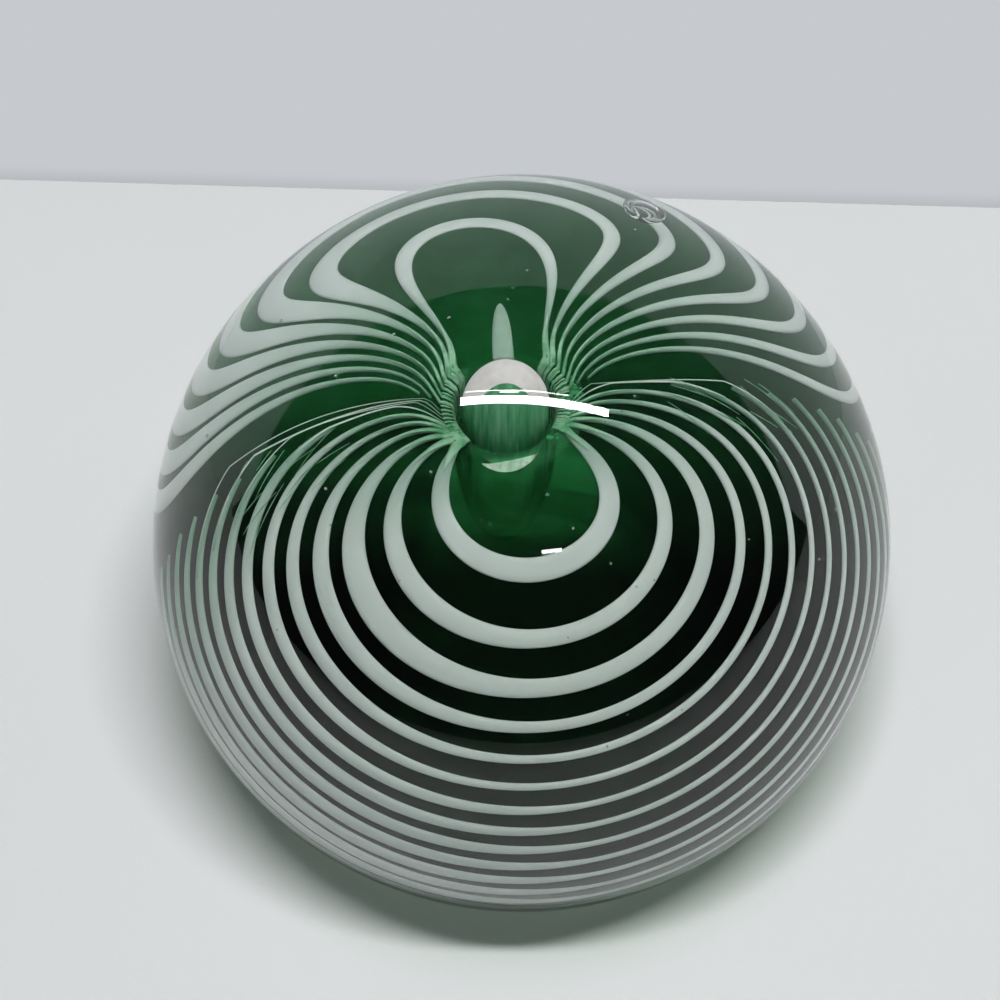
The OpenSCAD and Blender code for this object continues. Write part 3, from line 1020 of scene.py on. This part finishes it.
runs = []
for side in (-1, 1):
    for turn in range(SEAM_FIRST, SEAM_LASTS[side] + 1):
        law = loop_law(FRONT, turn)
        from_turn = law["end_turn"] - SEAM_OVERLAP
        odd = turn % 2
        stations = []
        for i in range(SEAM_STATIONS + 1):
            along = i / SEAM_STATIONS
            share = math.cos(math.radians(from_turn + (law["mouth_turn"] - from_turn) * along))
            sway = SWAY * math.sin(turn * SWAY_SHIFT + SWAY_TURNS * along) * along * (1 - along)
            most = FRONT["seam"] + SEAM_STEPS[side] * (turn - SEAM_FIRST + sway)
            width = SEAM_THREAD_W * (1 - SEAM_THINNING * along) * (1 if odd else SEAM_FINE)
            stations.append((
                law["reach"] * share, leg_azimuth(FRONT, law, share, side, most), width * MM
            ))
        runs.append(layer_run(stations, SEAM_OUT - odd * SEAM_THREAD_T))
seam_threads = strands("seam_threads", runs, SEAM_THREAD_T, THREAD_CORNERS)
dress(seam_threads, opal_trail)
drift = random.Random(WISP_START)
runs = []
for side in (-1, 1):
    for k in range(WISPS):
        colat = drift.uniform(*WISP_COLATS)
        half = FRONT["seam"] + drift.uniform(*WISP_ASIDE)
        length = drift.uniform(*WISP_LENGTHS)
        lean = drift.uniform(*WISP_LEANS)
        stations = []
        for i in range(WISP_STEPS + 1):
            share = i / WISP_STEPS
            full = WISP_BLUNT + (1 - 2 * WISP_BLUNT) * share
            stations.append((
                math.radians(colat + length * share),
                math.radians(FRONT["axis"] + side * (half - lean * share * length / 2)),
                WISP_W * math.sin(math.pi * full) * MM,
            ))
        runs.append(layer_run(stations, SEAM_OUT + drift.uniform(*WISP_OUT) * MM))
seam_wisps = strands("seam_wisps", runs, SEAM_THREAD_T, THREAD_CORNERS)
dress(seam_wisps, green_threads)
for piece in (seam_threads, seam_wisps):
    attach(piece, "root")

# Bubble cap, sliver and veil: a thin crescent of white glass was caught over the bubble's back,
# and a veil of streaky green was drawn over its face. Under its front rim a glowing white crescent
# stands for a reflection, a painted reflection, and the cap has a faint painted glow. All lie in
# the clear glass, a hair's breadth off the air.
SLIVER_STEPS = 36
SLIVER_ROWS = 28
SLIVER_T = 0.08 * MM
SLIVER_END = 0.999
SLIVER_SHARP = 40
CAP_GAP = 0.14 * MM
SLIVER_GAP = 0.27 * MM
VEIL_GAP = 0.03 * MM
CAP_RIM = Vector((0, 2.27, 3.90)) * MM
CAP_FRONT = Vector((0, -2.32, 3.82)) * MM
RIM_DOWN = Vector((0, -1.88, -6.16)) * MM
RIM_FRONT = Vector((0, -2.65, 4.36)) * MM
CAP_PAINTED_GLOW = 0.25
SLIVER_PAINTED_REFLECTION = 1
PAINTED_GLOW_COLOUR = (0.86, 0.83, 0.82, 1)
ROSY_DARK = (0.62, 0.57, 0.56, 1)
ROSY_PALE = (0.72, 0.68, 0.67, 1)
VEIL_DARK = (0.05, 0.3, 0.12, 1)
VEIL_PALE = (0.22, 0.55, 0.32, 1)
VEIL_COVER = (0.97, 1)


def add_sliver(name, rim, front, half_angle, width, roundness, start, gap, aside=0, bowed=True):
    """A thin patch on the bubble: it starts near a rim through a direction and rises from it by a
    width in degrees, which falls away at its ends. A bowed one closes in on its front."""
    centre = Vector((-CORE_SHIFT, 0, BUBBLE_WAIST_Z))
    points, faces = [], []
    for side_out in (gap, gap + SLIVER_T):
        for i in range(SLIVER_STEPS + 1):
            turn = half_angle * (2 * i / SLIVER_STEPS - 1)
            reach = width * (1 - abs(SLIVER_END * turn / half_angle) ** roundness) ** 0.5
            side = Vector((BUBBLE_R * math.sin(math.radians(turn + aside)), 0, 0))
            share = math.cos(math.radians(turn + aside))
            for j in range(SLIVER_ROWS + 1):
                rise = math.radians(start + reach * j / SLIVER_ROWS)
                if bowed:
                    local = (side + rim * share) * math.cos(rise) + front * math.sin(rise)
                else:
                    local = side + (rim * math.cos(rise) + front * math.sin(rise)) * share
                stretch = BUBBLE_UP if local.z > 0 else BUBBLE_DOWN
                outward = Vector((
                    local.x / BUBBLE_R ** 2, local.y / BUBBLE_R ** 2, local.z / stretch ** 2
                ))
                size = math.hypot(local.x / BUBBLE_R, local.y / BUBBLE_R, local.z / stretch)
                points.append(centre + local / size + outward.normalized() * side_out)
    row = SLIVER_ROWS + 1
    layer_size = row * (SLIVER_STEPS + 1)
    for i in range(SLIVER_STEPS):
        for j in range(SLIVER_ROWS):
            a = i * row + j
            faces.append((a, a + row, a + row + 1, a + 1))
            a += layer_size
            faces.append((a, a + 1, a + row + 1, a + row))
    border = [i * row for i in range(SLIVER_STEPS + 1)]
    border += [SLIVER_STEPS * row + j for j in range(1, row)]
    border += [i * row + SLIVER_ROWS for i in reversed(range(SLIVER_STEPS))]
    border += [j for j in reversed(range(1, SLIVER_ROWS))]
    for a, b in zip(border, border[1:] + border[:1]):
        faces.append((a, a + layer_size, b + layer_size, b))
    sliver = build(name, points, faces)
    face_out(sliver)
    bpy.ops.object.shade_smooth_by_angle(angle=math.radians(SLIVER_SHARP))
    return sliver


def rosy_white(name, painted_glow):
    """Cloudy rosy white glass, given a glow of painted light."""
    material, tree, output = new_material(name)
    patches = add_noise(tree, own_place(tree), scale=900, detail=2)
    add_surface(
        tree, output, Base_Color=add_ramp(tree, patches, (0.3, ROSY_DARK), (0.7, ROSY_PALE)),
        Roughness=0.35, IOR=1.5, Specular_IOR_Level=0,
        Emission_Color=PAINTED_GLOW_COLOUR, Emission_Strength=painted_glow,
    )
    return material


cap = add_sliver(
    "bubble_cap", CAP_RIM, CAP_FRONT, half_angle=85, width=52, roundness=6, start=1.5, gap=CAP_GAP
)
dress(cap, rosy_white("rosy_white_cap_painted_glow", CAP_PAINTED_GLOW))
# Painted reflection: a glowing white crescent under the bubble's front rim.
sliver = add_sliver(
    "bubble_sliver_painted_reflection", RIM_DOWN, RIM_FRONT, half_angle=36, width=34, roundness=2, start=1.5,
    gap=SLIVER_GAP, aside=8,
)
dress(sliver, rosy_white("rosy_white_painted_reflection", SLIVER_PAINTED_REFLECTION))
for piece in (cap, sliver):
    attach(piece, "root")

veil = add_sliver(
    "bubble_veil", CAP_RIM, CAP_FRONT, half_angle=88, width=176, roundness=60, start=2,
    gap=VEIL_GAP, bowed=False,
)
material, tree, output = new_material("streaky_green_veil")
streaks = add_noise(tree, own_place(tree), scale=3200, detail=4, stretch=(1, 0.07, 0.07))
add_surface(
    tree, output, Base_Color=add_ramp(tree, streaks, (0.3, VEIL_DARK), (0.75, VEIL_PALE)),
    Roughness=0.5, IOR=1.5, Specular_IOR_Level=0,
    Alpha=add_range(tree, streaks, 0.35, 0.6, *VEIL_COVER),
)
dress(veil, material)
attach(veil, "root")
